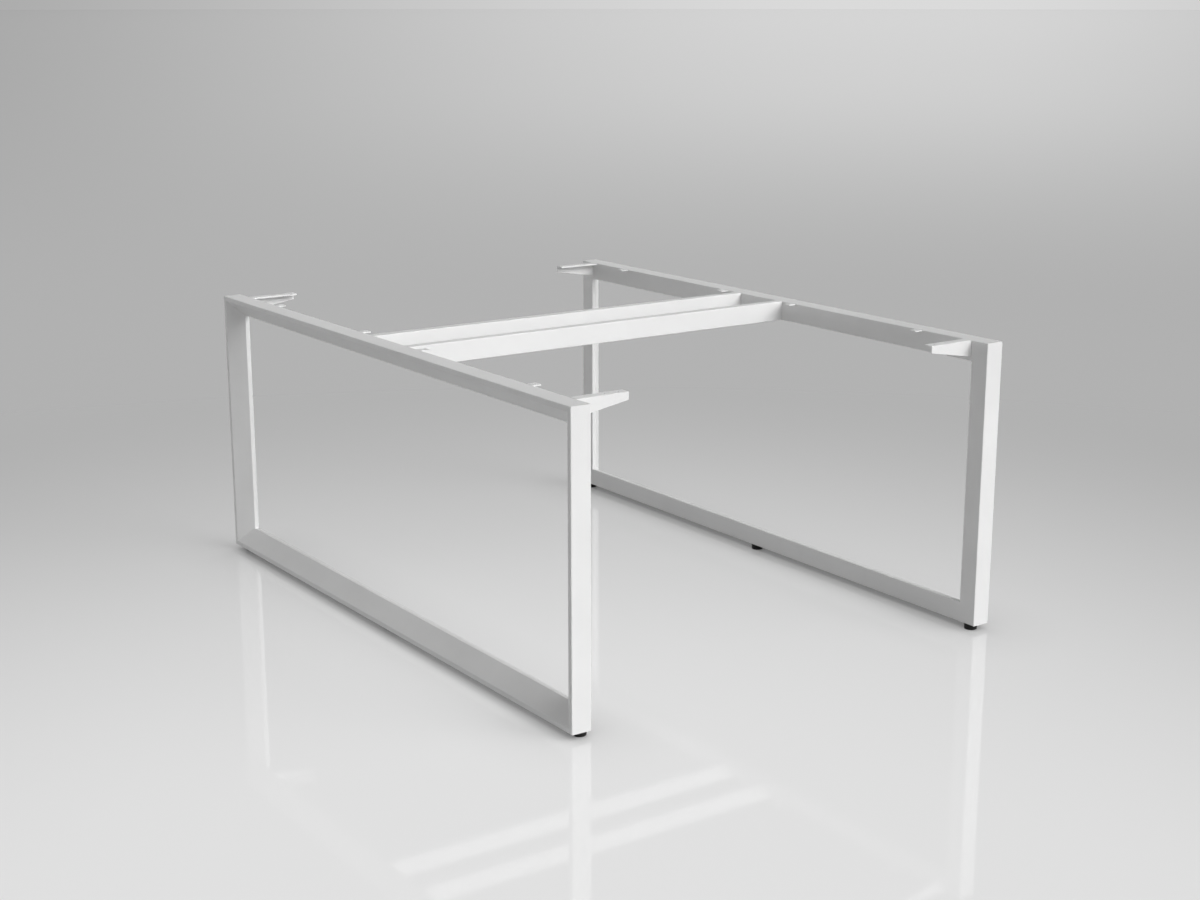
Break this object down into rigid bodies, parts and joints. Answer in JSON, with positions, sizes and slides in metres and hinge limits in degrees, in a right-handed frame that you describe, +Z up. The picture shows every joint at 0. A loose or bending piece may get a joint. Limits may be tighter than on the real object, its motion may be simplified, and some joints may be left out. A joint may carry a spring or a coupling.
{
  "type": "desk frame",
  "caption": "Desk frame of closed loop legs in chamfered square tube, joined by cross beams, with brackets and tabs for a desktop and levelling feet.",
  "frame": {"origin": "on the floor, under the middle of the frame", "axes": "+Z up, X along the cross beams from loop to loop, Y along the loops"},
  "size_m": [1.235, 1.682, 0.7165],
  "materials": {
    "powder_coat": "semi-matte white powder coat on steel",
    "black_plastic": "moulded, matte black",
    "zinc_steel": "bright zinc plated"
  },
  "bodies": {
    "frame": {"beam_screws": "zinc_steel", "front_beam": "powder_coat", "left_bottom_rail": "powder_coat", "left_front_beam_spigot": "powder_coat", "left_front_corner_bracket": "powder_coat", "left_front_inner_tab": "powder_coat", "left_front_outer_tab": "powder_coat", "left_front_post": "powder_coat", "left_front_rivet_nut": "zinc_steel", "left_middle_rivet_nut": "zinc_steel", "left_rear_beam_spigot": "powder_coat", "left_rear_corner_bracket": "powder_coat", "left_rear_inner_tab": "powder_coat", "left_rear_outer_tab": "powder_coat", "left_rear_post": "powder_coat", "left_rear_rivet_nut": "zinc_steel", "left_top_rail": "powder_coat", "rear_beam": "powder_coat", "right_bottom_rail": "powder_coat", "right_front_beam_spigot": "powder_coat", "right_front_corner_bracket": "powder_coat", "right_front_inner_tab": "powder_coat", "right_front_outer_tab": "powder_coat", "right_front_post": "powder_coat", "right_front_rivet_nut": "zinc_steel", "right_middle_rivet_nut": "zinc_steel", "right_rear_beam_spigot": "powder_coat", "right_rear_corner_bracket": "powder_coat", "right_rear_inner_tab": "powder_coat", "right_rear_outer_tab": "powder_coat", "right_rear_post": "powder_coat", "right_rear_rivet_nut": "zinc_steel", "right_top_rail": "powder_coat"},
    "left_front_foot": {"left_front_foot_puck": "black_plastic", "left_front_foot_stud": "zinc_steel"},
    "left_middle_foot": {"left_middle_foot_puck": "black_plastic", "left_middle_foot_stud": "zinc_steel"},
    "left_rear_foot": {"left_rear_foot_puck": "black_plastic", "left_rear_foot_stud": "zinc_steel"},
    "right_front_foot": {"right_front_foot_puck": "black_plastic", "right_front_foot_stud": "zinc_steel"},
    "right_middle_foot": {"right_middle_foot_puck": "black_plastic", "right_middle_foot_stud": "zinc_steel"},
    "right_rear_foot": {"right_rear_foot_puck": "black_plastic", "right_rear_foot_stud": "zinc_steel"}
  },
  "joints": [
    {"name": "left_front_foot_level", "type": "slide", "parent": "frame", "child": "left_front_foot", "axis": [0, 0, 1], "range_m": [-0.012, 0]},
    {"name": "left_middle_foot_level", "type": "slide", "parent": "frame", "child": "left_middle_foot", "axis": [0, 0, 1], "range_m": [-0.012, 0]},
    {"name": "left_rear_foot_level", "type": "slide", "parent": "frame", "child": "left_rear_foot", "axis": [0, 0, 1], "range_m": [-0.012, 0]},
    {"name": "right_front_foot_level", "type": "slide", "parent": "frame", "child": "right_front_foot", "axis": [0, 0, 1], "range_m": [-0.012, 0]},
    {"name": "right_middle_foot_level", "type": "slide", "parent": "frame", "child": "right_middle_foot", "axis": [0, 0, 1], "range_m": [-0.012, 0]},
    {"name": "right_rear_foot_level", "type": "slide", "parent": "frame", "child": "right_rear_foot", "axis": [0, 0, 1], "range_m": [-0.012, 0]}
  ]
}
